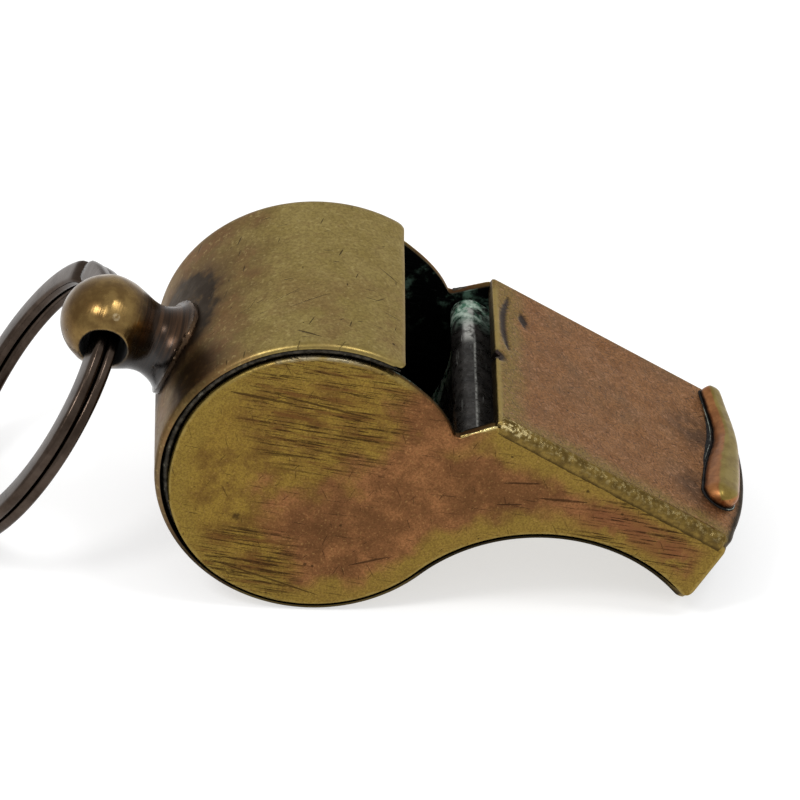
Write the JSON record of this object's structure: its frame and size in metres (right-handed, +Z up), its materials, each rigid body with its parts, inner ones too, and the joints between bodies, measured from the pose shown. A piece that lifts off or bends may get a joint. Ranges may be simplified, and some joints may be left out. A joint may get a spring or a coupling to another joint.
{
  "type": "pea whistle",
  "caption": "Snail-shaped pea whistle of soldered sheet brass with a sound window, a flat mouthpiece with a tooth bead, and a split ring on a ball stud.",
  "frame": {"origin": "on the floor under the middle of the part's box, with the whistle standing on its barrel and mouth and the ring lying out behind", "axes": "+X towards the mouth, +Y along the barrel's axis towards the far side plate, +Z up"},
  "size_m": [0.0558, 0.0218, 0.022],
  "materials": {
    "aged_brass": "worn olive-yellow brass with brown patina near the stud",
    "plate_brass": "worn brass with copper-brown patina and fine scratches",
    "browned_brass": "copper-brown patina with yellow worn edges",
    "dark_brass": "blackened, with pale rubbed streaks",
    "bead_brass": "rubbed yellow crown, brown sides",
    "stud_brass": "polished by handling, dark at the neck",
    "ring_metal": "browned, dull, with a soft sheen",
    "cork": "matt cork"
  },
  "bodies": {
    "whistle": {"barrel_band": "aged_brass", "near_side_plate": "plate_brass", "far_side_plate": "plate_brass", "mouthpiece_top": "browned_brass", "windway_floor": "dark_brass", "tooth_bead": "bead_brass", "ring_stud": "stud_brass"},
    "ring": {"split_ring": "ring_metal"},
    "pea": {"pea": "cork"}
  },
  "joints": [
    {"name": "ring_swing", "type": "hinge", "parent": "whistle", "child": "ring", "pos_m": [-0.01666, -0.0017, 0.01696], "axis": [0, -1, 0], "range_deg": [-208, 47]},
    {"name": "pea_round", "type": "hinge", "parent": "whistle", "child": "pea", "pos_m": [-0.00196, -0.0017, 0.01101], "axis": [0, 1, 0], "continuous": true}
  ]
}
